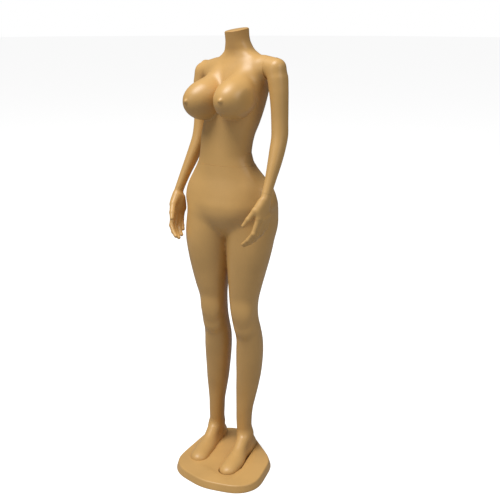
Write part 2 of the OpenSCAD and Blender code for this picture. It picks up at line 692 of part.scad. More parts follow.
module arm_screws(side) color(zinc) shoulder_frame(side) translate([arm_face + clear / 2, 0, 0]) {
    arm_screw_places() cylinder(d = arm_screw_d, h = 10);
    arm_screw_places() cylinder(d = arm_screw_head_d, h = arm_screw_head_h);
}
module left_arm_screws() arm_screws(1);
module right_arm_screws() arm_screws(-1);
module wrist_socket(side) color(nylon) wrist_frame(side) difference() {
    union() {
        translate([0, 0, seam / 2]) cylinder(d = wrist_d + 8, h = 26);
        translate([0, 0, seam / 2]) linear_extrude(4) polygon(oval(9.6, 13));
    }
    translate([0, 0, -1]) cylinder(d = wrist_d + 2 * clear, h = 24);
}
module left_wrist_socket() wrist_socket(1);
module right_wrist_socket() wrist_socket(-1);
module hand(side) color(skin) moulding() difference() {
    tilted_chest(side) translate(wrist_point(side)) about_forearm(hand_turn(side)) {
        limb(palm_rows, -92, 4, 1, 16);
        for (f = fingers) for (i = [0:2]) bone(point(f[i]), point(f[i + 1]), f[i][3], f[i + 1][3], 10);
    }
    wrist_frame(side) {
        half_space([0, 0, -seam / 2], [0, 0, 0]);
        translate([0, 0, -wrist_flange_t - 0.5])
            cylinder(d = wrist_flange_d + 2 * clear, h = 6, $fn = round_sides);
        translate([0, 0, -20]) cylinder(d = wrist_d + 2 * clear, h = 20, $fn = round_sides);
    }
}
module left_hand() hand(1);
module right_hand() hand(-1);
module wrist_peg(side) color(steel) wrist_frame(side) {
    translate([0, 0, -18]) cylinder(d = wrist_d, h = 18 + 20);
    translate([0, 0, -wrist_flange_t]) cylinder(d = wrist_flange_d, h = wrist_flange_t - seam / 2);
}
module left_wrist_peg() wrist_peg(1);
module right_wrist_peg() wrist_peg(-1);

base_shell();
base_plate();
base_pads();
base_screws();
left_foot_peg();
right_foot_peg();
peg_screws();
lower_body();
left_foot_socket();
right_foot_socket();
waist_plate();
waist_spigot();
waist_plate_screws();
spigot_washer();
spigot_nut();
torso_shell();
torso_waist_plate();
waist_socket();
torso_waist_screws();
neck_cap();
left_shoulder_plate();
right_shoulder_plate();
shoulder_screws();
left_shoulder_hub();
right_shoulder_hub();
left_shoulder_spring();
right_shoulder_spring();
left_shoulder_nut();
right_shoulder_nut();
left_arm_shell();
right_arm_shell();
left_arm_fitting();
right_arm_fitting();
left_arm_screws();
right_arm_screws();
left_wrist_socket();
right_wrist_socket();
left_hand();
right_hand();
left_wrist_peg();
right_wrist_peg();
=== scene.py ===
import json
import math

import bmesh
import bpy
import numpy as np
from mathutils import Euler, Matrix, Vector


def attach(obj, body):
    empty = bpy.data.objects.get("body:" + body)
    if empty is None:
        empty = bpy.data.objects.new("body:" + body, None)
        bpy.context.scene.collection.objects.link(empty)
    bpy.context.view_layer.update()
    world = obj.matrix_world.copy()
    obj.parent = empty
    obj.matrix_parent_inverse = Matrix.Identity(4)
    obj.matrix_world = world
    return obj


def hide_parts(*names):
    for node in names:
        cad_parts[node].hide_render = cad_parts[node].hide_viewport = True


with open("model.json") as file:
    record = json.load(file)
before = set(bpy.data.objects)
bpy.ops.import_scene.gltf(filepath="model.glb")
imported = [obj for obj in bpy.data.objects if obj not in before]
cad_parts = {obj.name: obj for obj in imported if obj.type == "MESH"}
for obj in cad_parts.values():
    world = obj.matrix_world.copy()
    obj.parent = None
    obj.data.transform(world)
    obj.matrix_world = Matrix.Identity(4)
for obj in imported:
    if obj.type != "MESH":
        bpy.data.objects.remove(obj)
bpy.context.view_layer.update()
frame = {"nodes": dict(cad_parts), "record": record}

# ---- The figure's numbers, in millimetres, as in the part's source ----
WALL = 3.0
SEAM = 0.3
WAIST_Z = 1150.0
SHOULDER_X = 132.0
NECK_Z = 1596.0
SOLE_Z = 15.0
BASE_H = 28.0
SQUARENESS = 2.2

# Sections: height, middle x and y, half width, depth to the front, depth to the back, and turn
TRUNK = np.array(
    [
        [900, 13, 12, 40, 52, 70, -10],
        [935, 13, 12, 92, 84, 104, -10],
        [970, 13, 12, 142, 100, 117, -10],
        [1005, 13, 11, 169, 103, 114, -10],
        [1040, 12, 9, 170, 96, 100, -10],
        [1075, 11, 6, 158, 87, 86, -10],
        [1110, 6, 4, 134, 78, 76, -11],
        [1145, 1, 2, 110, 72, 69, -13],
        [1180, -2, 2, 97, 69, 66, -15],
        [1215, 0, 4, 97, 69, 66, -16],
        [1250, 5, 7, 100, 71, 69, -17],
        [1285, 15, 11, 104, 75, 74, -18],
        [1320, 23, 16, 107, 79, 80, -19],
        [1360, 29, 22, 112, 83, 84, -20],
        [1400, 32, 27, 120, 82, 82, -20],
        [1440, 34, 31, 128, 74, 74, -20],
        [1470, 35, 34, 129, 62, 62, -20],
        [1492, 35, 36, 114, 52, 53, -20],
        [1510, 37, 36, 84, 46, 48, -20],
        [1528, 37, 34, 57, 43, 44, -20],
        [1550, 35, 28, 44, 41, 42, -20],
        [1615, 34, 12, 40, 42, 40, -20],
    ],
    float,
)
LEFT_LEG = np.array(
    [
        [20, 43, 74, 25, 40, 55, 0],
        [45, 43, 74, 27, 34, 54, 0],
        [75, 42, 73, 26.5, 30, 43, 0],
        [110, 39, 69, 27, 30, 35, 0],
        [160, 39, 66, 28.5, 31, 34, 0],
        [200, 42, 64, 30.5, 33, 36, 0],
        [250, 48, 63, 36, 37, 43, 0],
        [300, 55, 59, 41, 42, 52, 0],
        [350, 62, 53, 44.5, 46, 60, 0],
        [400, 67, 46, 47, 49, 64, 0],
        [450, 71, 39, 48, 50, 64, 0],
        [500, 73, 31, 46.5, 50, 59, 0],
        [540, 69, 23, 47, 50, 55, 0],
        [580, 64, 14, 47, 51, 53, 0],
        [620, 62, 8, 48.5, 53, 53, 0],
        [660, 63, 5, 52, 56, 56, 0],
        [700, 67, 4, 57.5, 62, 62, 0],
        [760, 74, 3, 67, 70, 70, 0],
        [820, 81, 3, 76, 78, 78, 0],
        [880, 86, 5, 83, 84, 86, 0],
        [940, 88, 7, 85, 85, 90, 0],
        [990, 86, 8, 80, 80, 86, 0],
        [1030, 76, 8, 62, 64, 70, 0],
        [1070, 60, 8, 36, 40, 44, 0],
    ],
    float,
)
RIGHT_LEG = np.array(
    [
        [20, -100, 130, 25, 40, 55, 0],
        [45, -100, 130, 27, 34, 54, 0],
        [75, -98, 127, 26.5, 30, 43, 0],
        [110, -94, 120, 27, 30, 35, 0],
        [160, -91, 114, 28.5, 31, 34, 0],
        [200, -88, 109, 29.5, 32, 35, 0],
        [250, -84, 105, 35, 36, 41, 0],
        [300, -79, 97, 40, 41, 50, 0],
        [350, -74, 88, 43, 44, 58, 0],
        [400, -69, 78, 46, 47, 63, 0],
        [450, -64, 67, 48, 49, 63, 0],
        [500, -60, 56, 47.5, 49, 58, 0],
        [540, -60, 45, 46, 49, 54, 0],
        [580, -62, 36, 46.5, 50, 51, 0],
        [620, -62, 29, 47, 52, 51, 0],
        [660, -63, 24, 49.5, 55, 54, 0],
        [700, -66, 20, 56, 61, 62, 0],
        [760, -69, 17, 67, 69, 72, 0],
        [820, -70, 15, 77, 78, 82, 0],
        [880, -70, 14, 84, 84, 90, 0],
        [940, -66, 14, 85, 85, 94, 0],
        [990, -61, 14, 80, 80, 88, 0],
        [1030, -50, 13, 62, 64, 70, 0],
        [1070, -34, 12, 36, 40, 44, 0],
    ],
    float,
)
# The arms, palm and fingers are given in the chest's own frame.
LEFT_ARM = np.array(
    [
        [1020, 201, -98, 14, 20, 20, 0],
        [1060, 197, -80, 14.5, 20, 20, 0],
        [1100, 196, -62, 17, 21.5, 21.5, 0],
        [1160, 194, -36, 22, 26, 27, 0],
        [1200, 192, -20, 25, 28.5, 28, 0],
        [1240, 190, -7, 26, 29, 29, 0],
        [1290, 186, -2, 26.5, 28.5, 29.5, 0],
        [1340, 182, 1, 27.5, 30, 31, 0],
        [1400, 175, 4, 30.5, 33, 34, 0],
        [1440, 168, 6, 32.5, 35.5, 36, 0],
        [1464, 162, 6, 33, 34, 34, 0],
    ],
    float,
)
RIGHT_ARM = np.array(
    [
        [1020, 203, -110, 14, 20, 20, 0],
        [1060, 199, -92, 14.5, 20, 20, 0],
        [1100, 194, -73, 17, 21.5, 21.5, 0],
        [1160, 184, -44, 22, 26, 27, 0],
        [1200, 177, -26, 25, 28.5, 28, 0],
        [1240, 172, -11, 26, 29, 29, 0],
        [1290, 170, -2, 26.5, 28.5, 29.5, 0],
        [1340, 170, 1, 27.5, 30, 31, 0],
        [1400, 169, 4, 30.5, 33, 34, 0],
        [1440, 166, 6, 32.5, 35.5, 36, 0],
        [1464, 162, 6, 33, 34, 34, 0],
    ],
    float,
)
PALM = np.array(
    [
        [-92, -4, -16, 6, 24, 22, 0],
        [-80, -4, -15, 11, 31, 29, 0],
        [-60, -5, -14, 14, 34, 30, 0],
        [-36, -4, -11, 16, 31, 26, 0],
        [-16, -2, -6, 15.5, 24, 22, 0],
        [4, 0, 0, 14.6, 20.3, 20.3, 0],
        [30, -1, 12, 16.3, 21.1, 21.1, 0],
    ],
    float,
)
FINGERS = [
    [[-4, -16, -18, 13], [-16, -42, -50, 11.5], [-32, -58, -78, 9.5], [-45, -68, -98, 7]],
    [[-6, -38, -80, 10], [-13, -54, -126, 8.5], [-32, -59, -148, 7.5], [-52, -62, -163, 6]],
    [[-2, -22, -84, 10], [-12, -40, -134, 8.5], [-34, -48, -158, 7.5], [-56, -52, -170, 6]],
    [[0, -6, -80, 9.5], [-9, -22, -128, 8], [-28, -30, -152, 7], [-45, -34, -163, 6]],
    [[2, 7, -72, 8.5], [-3, -4, -112, 7], [-14, -10, -134, 6], [-26, -15, -147, 5]],
]
CHEST_AT = (34.0, 26.0)
CHEST_TURN = -21.0
CHEST_TILT = 0.08
TILT_FROM = 1180.0
TILT_TO = 1380.0
HIP_AT = (13.0, 12.0)
HIP_TURN = -10.0
NECK_AT = (2.0, -8.0)
NECK_SLOPE = (9.0, -4.5)
SHOULDER_YZ = (6.0, 1466.0)
WRIST_LEAN = -21.5
WRIST = {1: (197.0, -78.0, 1060.0), -1: (199.0, -90.0, 1060.0)}
HAND_TURN = {1: 0.0, -1: 16.0}
FOOT = {1: (43.0, 74.0), -1: (-100.0, 130.0)}

BASE_CIRCLES = [(82, -124, 84), (10, -90, 118), (-50, -60, 118), (50, -20, 112), (-45, 110, 105)]
FOOT_CIRCLES = [(0, 31, 27), (1, -148, 35), (-3, -185, 30)]
# The gap round each foot is a little wider than in the part's source, so that its dark line shows
FOOT_GAP = 3.6
BASE_FLARE = 9.0
PEG_BACK = 14.0
PEG_BORE = 6.3
WRIST_BORE = 9.3

# Grid sizes of the first meshes, which the surfaces are then settled from
LEG_VOXEL = 4.0
TORSO_VOXEL = 2.6
ARM_VOXEL = 2.5
HAND_VOXEL = 1.6


# ---- Soft joins of solids, as distance fields over arrays of points ----
def smin(a, b, k):
    """The union of two fields, rounded over a width k."""
    h = np.maximum(k - np.abs(a - b), 0) / k
    return np.minimum(a, b) - h * h * k / 4


def smax(a, b, k):
    """The overlap of two fields, rounded over a width k."""
    return -smin(-a, -b, k)


def turned(x, y, degrees):
    """The coordinates of (x, y) along axes that are turned by so many degrees."""
    a = math.radians(degrees)
    return x * math.cos(a) + y * math.sin(a), y * math.cos(a) - x * math.sin(a)


def sections(rows, z):
    """The sections' values at heights z, on smooth curves through the rows."""
    zs = rows[:, 0]
    gaps = np.diff(zs)
    slopes = np.diff(rows, axis=0) / gaps[:, None]
    tangents = np.vstack([slopes[:1], slopes])
    weighted = slopes[:-1] * gaps[1:, None] + slopes[1:] * gaps[:-1, None]
    tangents[1:-1] = weighted / (gaps[1:] + gaps[:-1])[:, None]
    inside = np.clip(z, zs[0], zs[-1])
    i = np.clip(np.searchsorted(zs, inside, side="right") - 1, 0, len(zs) - 2)
    t = ((inside - zs[i]) / gaps[i])[..., None]
    h = gaps[i][..., None]
    return (
        (2 * t**3 - 3 * t**2 + 1) * rows[i]
        + (t**3 - 2 * t**2 + t) * h * tangents[i]
        + (3 * t**2 - 2 * t**3) * rows[i + 1]
        + (t**3 - t**2) * h * tangents[i + 1]
    )


def limb_field(p, rows, cap=12.0):
    """The distance to the solid of a table of sections; cap rounds its ends."""
    x, y, z = p
    s = sections(rows, z)
    dx, dy = x - s[..., 1], y - s[..., 2]
    a = np.radians(s[..., 6])
    u, v = dx * np.cos(a) + dy * np.sin(a), dy * np.cos(a) - dx * np.sin(a)
    depth = np.where(v < 0, s[..., 4], s[..., 5])
    rho = ((np.abs(u) / s[..., 3]) ** SQUARENESS + (np.abs(v) / depth) ** SQUARENESS) ** (1 / SQUARENESS)
    radius = np.sqrt(u * u + v * v) + 1e-6
    side = np.where(
        rho < 0.3, (rho - 1) * np.minimum(s[..., 3], depth), (rho - 1) * radius / np.maximum(rho, 1e-3)
    )
    return smax(side, np.maximum(rows[0, 0] - z, z - rows[-1, 0]), cap)


def ellipsoid_field(p, at, half, tip=0.0, turn=0.0):
    """The distance, near the surface, to an ellipsoid turned about Z and tipped about X."""
    x, y, z = p[0] - at[0], p[1] - at[1], p[2] - at[2]
    if turn:
        x, y = turned(x, y, turn)
    if tip:
        y, z = turned(y, z, tip)
    near = np.sqrt((x / half[0]) ** 2 + (y / half[1]) ** 2 + (z / half[2]) ** 2)
    steep = np.sqrt((x / half[0] ** 2) ** 2 + (y / half[1] ** 2) ** 2 + (z / half[2] ** 2) ** 2) + 1e-9
    return near * (near - 1) / steep


def bone_field(p, a, b, ra, rb):
    """The distance to a rounded bone from a to b, whose radius runs from ra to rb."""
    a, b = np.asarray(a, float), np.asarray(b, float)
    along = b - a
    px, py, pz = p[0] - a[0], p[1] - a[1], p[2] - a[2]
    t = np.clip((px * along[0] + py * along[1] + pz * along[2]) / (along @ along), 0, 1)
    gap = np.sqrt((px - along[0] * t) ** 2 + (py - along[1] * t) ** 2 + (pz - along[2] * t) ** 2)
    return gap - (ra + (rb - ra) * t)


def smoothstep(a, b, v):
    """0 below a, 1 above b, with a smooth passage between them."""
    t = np.clip((v - a) / (b - a), 0, 1)
    return t * t * (3 - 2 * t)


# ---- The body's frames ----
def in_chest(p, side=1, tilted=True):
    """Points in the chest's frame, mirrored for the right side. The tilted frame is untilted again."""
    x, y = turned(p[0] - CHEST_AT[0], p[1] - CHEST_AT[1], CHEST_TURN)
    return x * side, y, p[2] - (CHEST_TILT * x if tilted else 0)


def in_hip(p, side):
    """Points in the hips' frame, mirrored for the right side."""
    x, y = turned(p[0] - HIP_AT[0], p[1] - HIP_AT[1], HIP_TURN)
    return x * side, y, p[2]


def in_foot(p, side):
    """Points in a foot's frame, from its ankle's place on the recess floor."""
    at = FOOT[side]
    return (p[0] - at[0]) * side, p[1] - at[1], p[2] - SOLE_Z


def chest_matrix():
    """Places the untilted chest frame in the part's frame."""
    return Matrix.Translation((*CHEST_AT, 0)) @ Matrix.Rotation(math.radians(CHEST_TURN), 4, "Z")


def mirror_matrix(side):
    """Swaps left and right for side -1."""
    return Matrix.Diagonal((side, 1, 1, 1))


def shoulder_matrix(side):
    """The shoulder's frame: +X runs out along its axis from the middle of the chest."""
    height = SHOULDER_YZ[1] + side * CHEST_TILT * SHOULDER_X
    return chest_matrix() @ mirror_matrix(side) @ Matrix.Translation((0, SHOULDER_YZ[0], height))


def wrist_matrix(side):
    """The wrist's frame: +Z runs up along the forearm."""
    at = Vector(WRIST[side]) + Vector((0, 0, side * CHEST_TILT * WRIST[side][0]))
    lean = Matrix.Rotation(math.radians(WRIST_LEAN), 4, "X")
    return chest_matrix() @ mirror_matrix(side) @ Matrix.Translation(at) @ lean


def neck_matrix():
    """The frame of the neck's cut: +Z runs out of it."""
    slope = Euler([math.radians(a) for a in (*NECK_SLOPE, 0)]).to_matrix().to_4x4()
    return chest_matrix() @ Matrix.Translation((*NECK_AT, NECK_Z)) @ slope


# ---- The figure's surfaces ----
BREAST = dict(at=(67, -95, 1370), half=(63, 80, 65), tip=-8.0, turn=8.0)
BREAST_TOP = ((63, -82, 1386), (56, -14, 1456), 57, 34)
BREAST_LIMIT = 129.0
NIPPLE = dict(at=(78, -173, 1374), half=(7, 8, 7))
KNEES = {1: (68, -15, 552), -1: (-61, 7, 552)}
STUB = ((105, 10, 1474), (162, 6, 1464), 36, 34)
SEAT = dict(at=(70, 46, 950), half=(80, 76, 88))
HEEL = dict(at=(0, 30, 22), half=(27, 31, 26))
INSTEP = ((-1, 0, 74), (0, -98, 27), 26, 22)
BALL = dict(at=(1, -140, 15), half=(35, 66, 24))
SOLE = dict(at=(0, -48, 18), half=(29, 108, 26))
TOE = dict(at=(-3, -182, 11), half=(30, 33, 18))


def breasts(p):
    """Both breasts, kept inside the shoulder seams."""
    both = None
    for side in (-1, 1):
        m = in_chest(p, side)
        d = smin(ellipsoid_field(m, **BREAST), bone_field(m, *BREAST_TOP), 26)
        d = smax(smin(d, ellipsoid_field(m, **NIPPLE), 8), m[0] - BREAST_LIMIT, 8)
        both = d if both is None else smin(both, d, 5)
    return both


def trunk(p):
    """The figure from the seat to the neck, with the stubs of the shoulders."""
    x = in_chest(p)[0]
    rise = CHEST_TILT * x * smoothstep(TILT_FROM, TILT_TO, p[2])
    d = limb_field((p[0], p[1], p[2] - rise), TRUNK)
    for side in (-1, 1):
        d = smin(d, bone_field(in_chest(p, side), *STUB), 26)
        d = smin(d, ellipsoid_field(in_hip(p, side), **SEAT), 40)
    # A crisp fold under the breasts, a soft passage above them
    return smin(d, breasts(p), 7 + 11 * smoothstep(1330, 1400, p[2]))


def foot(p, side):
    """Heel, instep, sole, ball and toes of one foot."""
    m = in_foot(p, side)
    d = smin(ellipsoid_field(m, **HEEL), bone_field(m, *INSTEP), 24)
    d = smin(d, ellipsoid_field(m, **SOLE), 16)
    d = smin(d, ellipsoid_field(m, **BALL), 22)
    return smin(d, ellipsoid_field(m, **TOE), 20)


def knee(p, side):
    """A kneecap with a softer pad above it."""
    x, y, z = KNEES[side]
    cap = ellipsoid_field(p, (x, y, z), (27, 17, 30))
    return smin(cap, ellipsoid_field(p, (x, y - 16, z + 62), (30, 15, 42)), 20)


def lower_figure(p):
    """The trunk's lower part with both legs, flat under the soles."""
    whole = trunk(p)
    left = smin(smin(limb_field(p, LEFT_LEG), knee(p, 1), 24), foot(p, 1), 20)
    right = smin(smin(limb_field(p, RIGHT_LEG), knee(p, -1), 24), foot(p, -1), 20)
    # The legs run softly into the hips and meet the belly in a crisper fold
    soft = 15 + 12 * smoothstep(50, 125, np.abs(in_hip(p, 1)[0]))
    both = smin(smin(whole, left, soft), smin(whole, right, soft), 4)
    return smax(both, SOLE_Z - p[2], 3)


def arm(p, side):
    """One arm with its shoulder."""
    m = in_chest(p, side)
    return smin(limb_field(m, LEFT_ARM if side > 0 else RIGHT_ARM, 30), bone_field(m, *STUB), 12)


def hand(p, side):
    """One hand; the thumb is joined to the palm more softly than the fingers are."""
    m = in_chest(p, side)
    h = tuple(m[i] - WRIST[side][i] for i in range(3))
    y, along = turned(h[1], h[2], WRIST_LEAN)
    x, y = turned(h[0], y, HAND_TURN[side])
    h = (x, *turned(y, along, -WRIST_LEAN))
    d = limb_field(h, PALM, 16)
    for number, finger in enumerate(FINGERS):
        whole = None
        for a, b in zip(finger[:-1], finger[1:]):
            piece = bone_field(h, a[:3], b[:3], a[3], b[3])
            whole = piece if whole is None else smin(whole, piece, 4)
        d = smin(d, whole, 12 if number == 0 else 7)
    # Near the wrist the hand takes the forearm's own section, so the two meet flush
    joined = smoothstep(-26, -5, along)
    return d * (1 - joined) + limb_field(m, LEFT_ARM if side > 0 else RIGHT_ARM, 30) * joined


# ---- Meshes ----
def mesh_object(name, points, faces):
    """A new object of the scene, made of these points and faces."""
    mesh = bpy.data.meshes.new(name)
    mesh.from_pydata([tuple(q) for q in points], [], [tuple(f) for f in faces])
    obj = bpy.data.objects.new(name, mesh)
    bpy.context.scene.collection.objects.link(obj)
    return obj


class Solids:
    """A heap of closed meshes, in millimetres, that one remesh turns into a single skin."""

    def __init__(self):
        self.points, self.faces = [], []

    def add(self, points, faces, matrix=None):
        """Adds one closed mesh."""
        start = len(self.points)
        if matrix is not None:
            points = [matrix @ Vector(q) for q in points]
        self.points += [tuple(q) for q in points]
        self.faces += [tuple(start + i for i in f) for f in faces]

    def rings(self, rings, matrix=None):
        """Adds a closed solid that runs through rings with equal numbers of points."""
        sides = len(rings[0])
        faces = [tuple(range(sides))[::-1]]
        for k in range(len(rings) - 1):
            for i in range(sides):
                j = (i + 1) % sides
                faces.append((k * sides + i, k * sides + j, (k + 1) * sides + j, (k + 1) * sides + i))
        faces.append(tuple((len(rings) - 1) * sides + i for i in range(sides)))
        self.add([q for ring in rings for q in ring], faces, matrix)

    def limb(self, rows, low, high, matrix=None, rise=None, step=10.0, sides=48):
        """Adds the solid of a table of sections, from one height to another."""
        heights = np.linspace(low, high, max(2, int((high - low) / step)))
        angles = np.arange(sides) * 2 * np.pi / sides
        power = 2 / SQUARENESS
        rings = []
        for z in heights:
            s = sections(rows, np.array([z]))[0]
            c, n = np.cos(angles), np.sin(angles)
            u = s[3] * np.sign(c) * np.abs(c) ** power
            v = np.where(n < 0, s[4], s[5]) * np.sign(n) * np.abs(n) ** power
            a = math.radians(s[6])
            x, y = s[1] + u * math.cos(a) - v * math.sin(a), s[2] + u * math.sin(a) + v * math.cos(a)
            rings.append([(px, py, z + (rise(px, py, z) if rise else 0)) for px, py in zip(x, y)])
        self.rings(rings, matrix)

    def ball(self, at, half, matrix=None, tip=0.0, turn=0.0):
        """Adds an ellipsoid with these half sizes, tipped about X and then turned about Z."""
        bm = bmesh.new()
        bmesh.ops.create_uvsphere(bm, u_segments=32, v_segments=20, radius=1)
        place = Matrix.Translation(at) @ Matrix.Rotation(math.radians(turn), 4, "Z")
        place = place @ Matrix.Rotation(math.radians(tip), 4, "X") @ Matrix.Diagonal((*half, 1))
        points = [place @ v.co for v in bm.verts]
        faces = [[v.index for v in f.verts] for f in bm.faces]
        bm.free()
        self.add(points, faces, matrix)

    def bone(self, a, b, ra, rb, matrix=None):
        """Adds a row of balls from a to b, whose radii run from ra to rb."""
        a, b = Vector(a), Vector(b)
        for k in range(9):
            t = k / 8
            self.ball(a.lerp(b, t), [ra + (rb - ra) * t] * 3, matrix)

    def skin(self, name, voxel):
        """One closed mesh round all the solids."""
        obj = mesh_object(name, self.points, self.faces)
        remesh = obj.modifiers.new("remesh", "REMESH")
        remesh.mode = "VOXEL"
        remesh.voxel_size = voxel
        bake(obj)
        return obj


def bake(obj):
    """Applies the object's modifiers."""
    evaluated = obj.evaluated_get(bpy.context.evaluated_depsgraph_get())
    mesh = bpy.data.meshes.new_from_object(evaluated)
    old = obj.data
    obj.modifiers.clear()
    obj.data = mesh
    mesh.name = obj.name
    bpy.data.meshes.remove(old)


def points_of(obj):
    """The mesh's points, as an array with a row for each."""
    co = np.empty(len(obj.data.vertices) * 3)
    obj.data.vertices.foreach_get("co", co)
    return co.reshape(-1, 3)


def set_points(obj, co):
    """Moves the mesh's points to the rows of an array."""
    obj.data.vertices.foreach_set("co", co.ravel())
    obj.data.update()


def settle(obj, field, steps=5, relax=2, eps=0.4, farthest=4.0):
    """Moves each point onto the field's surface, and evens the mesh after the first and last steps."""
    co = points_of(obj)
    edges = np.empty(len(obj.data.edges) * 2, int)
    obj.data.edges.foreach_get("vertices", edges)
    edges = edges.reshape(-1, 2)
    count = np.bincount(edges.ravel(), minlength=len(co))[:, None]
    for step in range(steps):
        value = field(tuple(co.T))
        slope = np.empty_like(co)
        for k in range(3):
            moved = co.copy()
            moved[:, k] += eps
            slope[:, k] = (field(tuple(moved.T)) - value) / eps
        size = np.maximum((slope * slope).sum(1), 0.05)
        co = co - slope * np.clip(value / size, -farthest, farthest)[:, None]
        if step < relax or step == steps - 1:
            mean = np.zeros_like(co)
            for k in range(3):
                mean[:, k] = np.bincount(edges[:, 0], co[edges[:, 1], k], len(co))
                mean[:, k] += np.bincount(edges[:, 1], co[edges[:, 0], k], len(co))
            co = co + 0.5 * (mean / count - co)
    set_points(obj, co)


def open_end(obj, matrix, axis, at, keep_below=True, depth=40.0, taper=0.0, bore=None):
    """Cuts the mesh at a plane of the given frame, and lines the cut with a rim and a socket.

    The rim is as wide as the wall, or reaches in to a round bore of the given radius."""
    point = matrix @ (Vector(axis) * at)
    normal = (matrix.to_3x3() @ Vector(axis)).normalized()
    bm = bmesh.new()
    bm.from_mesh(obj.data)
    bmesh.ops.bisect_plane(
        bm,
        geom=bm.verts[:] + bm.edges[:] + bm.faces[:],
        dist=1e-4,
        plane_co=point,
        plane_no=normal,
        clear_outer=keep_below,
        clear_inner=not keep_below,
    )
    inward = -normal if keep_below else normal
    edges = [e for e in bm.edges if e.is_boundary]
    ring = {v for e in edges for v in e.verts}
    middle = sum((v.co for v in ring), Vector()) / len(ring)
    for step in range(2):
        made = bmesh.ops.extrude_edge_only(bm, edges=edges)["geom"]
        edges = [e for e in made if isinstance(e, bmesh.types.BMEdge) and e.is_boundary]
        for v in {v for e in edges for v in e.verts}:
            out = v.co - middle
            out -= normal * out.dot(normal)
            far = out.length
            if step == 0:
                v.co += out.normalized() * ((far - WALL if bore is None else bore) - far)
            else:
                v.co += inward * depth - out.normalized() * taper
    bmesh.ops.holes_fill(bm, edges=edges)
    bmesh.ops.recalc_face_normals(bm, faces=bm.faces)
    bm.to_mesh(obj.data)
    bm.free()


def to_metres(obj):
    """Scales a mesh that was made in millimetres."""
    obj.data.transform(Matrix.Scale(0.001, 4))
    obj.data.update()


def shade(obj, degrees=50):
    """Smooth shading, with sharp edges where faces meet at more than this angle."""
    obj.data.polygons.foreach_set("use_smooth", [True] * len(obj.data.polygons))
    obj.data.set_sharp_from_angle(angle=math.radians(degrees))


def chest_shear(side):
    """The chest frame with its tilt."""
    shear = Matrix.Identity(4)
    shear[2][0] = CHEST_TILT
    return chest_matrix() @ shear @ mirror_matrix(side)


def chest_rise(x, y, z):
    """How much the chest's tilt lifts a point of the trunk."""
    across = turned(x - CHEST_AT[0], y - CHEST_AT[1], CHEST_TURN)[0]
    return CHEST_TILT * across * float(smoothstep(TILT_FROM, TILT_TO, z))


def hip_matrix(side):
    """Places the hips' frame in the part's frame."""
    turn = Matrix.Rotation(math.radians(HIP_TURN), 4, "Z")
    return Matrix.Translation((*HIP_AT, 0)) @ turn @ mirror_matrix(side)


def foot_matrix(side):
    """Places a foot's frame in the part's frame."""
    return Matrix.Translation((*FOOT[side], SOLE_Z)) @ mirror_matrix(side)


# ---- The pieces ----
def word(side):
    return "left" if side > 0 else "right"


def make_legs():
    heap = Solids()
    heap.limb(TRUNK, 905, WAIST_Z + 40)
    for side, rows in ((1, LEFT_LEG), (-1, RIGHT_LEG)):
        heap.limb(rows, 20, 1066)
        heap.ball(matrix=hip_matrix(side), **SEAT)
        at = foot_matrix(side)
        for part in (HEEL, BALL, SOLE, TOE):
            heap.ball(matrix=at, **part)
        heap.bone(*INSTEP, matrix=at)
    obj = heap.skin("legs_moulding", LEG_VOXEL)
    co = points_of(obj)
    co[:, 2] = np.maximum(co[:, 2], SOLE_Z)
    set_points(obj, co)
    settle(obj, lower_figure)
    open_end(obj, Matrix.Identity(4), (0, 0, 1), WAIST_Z - SEAM / 2)
    return obj


def make_torso():
    heap = Solids()
    heap.limb(TRUNK, WAIST_Z - 40, 1612, rise=chest_rise)
    for side in (-1, 1):
        at = chest_shear(side)
        heap.ball(matrix=at, **BREAST)
        heap.ball(matrix=at, **NIPPLE)
        heap.bone(*BREAST_TOP, matrix=at)
        heap.bone(*STUB, matrix=at)
    obj = heap.skin("torso_moulding", TORSO_VOXEL)
    settle(obj, trunk)
    open_end(obj, Matrix.Identity(4), (0, 0, 1), WAIST_Z + SEAM / 2, keep_below=False, taper=10)
    open_end(obj, neck_matrix(), (0, 0, 1), 0, depth=12)
    for side in (-1, 1):
        open_end(obj, shoulder_matrix(side), (1, 0, 0), SHOULDER_X - SEAM / 2, depth=28)
    return obj


def make_arm(side):
    heap = Solids()
    at = chest_shear(side)
    heap.limb(LEFT_ARM if side > 0 else RIGHT_ARM, 1022, 1460, matrix=at)
    heap.bone(*STUB, matrix=at)
    obj = heap.skin(word(side) + "_arm_moulding", ARM_VOXEL)
    settle(obj, lambda p: arm(p, side))
    open_end(obj, shoulder_matrix(side), (1, 0, 0), SHOULDER_X + SEAM / 2, keep_below=False, depth=28)
    open_end(obj, wrist_matrix(side), (0, 0, 1), SEAM / 2, keep_below=False, depth=30)
    return obj


def make_hand(side):
    heap = Solids()
    lean = Matrix.Rotation(math.radians(WRIST_LEAN), 4, "X")
    turn = Matrix.Rotation(math.radians(HAND_TURN[side]), 4, "Z")
    at = chest_shear(side) @ Matrix.Translation(WRIST[side]) @ lean @ turn @ lean.inverted()
    heap.limb(PALM, -92, 24, matrix=at, step=4)
    for finger in FINGERS:
        for a, b in zip(finger[:-1], finger[1:]):
            heap.bone(a[:3], b[:3], a[3], b[3], matrix=at)
    obj = heap.skin(word(side) + "_hand_moulding", HAND_VOXEL)
    settle(obj, lambda p: hand(p, side))
    open_end(obj, wrist_matrix(side), (0, 0, 1), -SEAM / 2, depth=4, bore=WRIST_BORE)
    return obj


def outline(circles, grow, soften=0, count=240):
    """The outline round the circles' hull: for each direction, the farthest circle's point."""
    points = []
    for k in range(count):
        a = 2 * math.pi * k / count
        c, s = math.cos(a), math.sin(a)
        x, y, r = max(circles, key=lambda q: q[0] * c + q[1] * s + q[2])
        points.append((x + (r + grow) * c, y + (r + grow) * s))
    return rounded(even(points, count), soften)


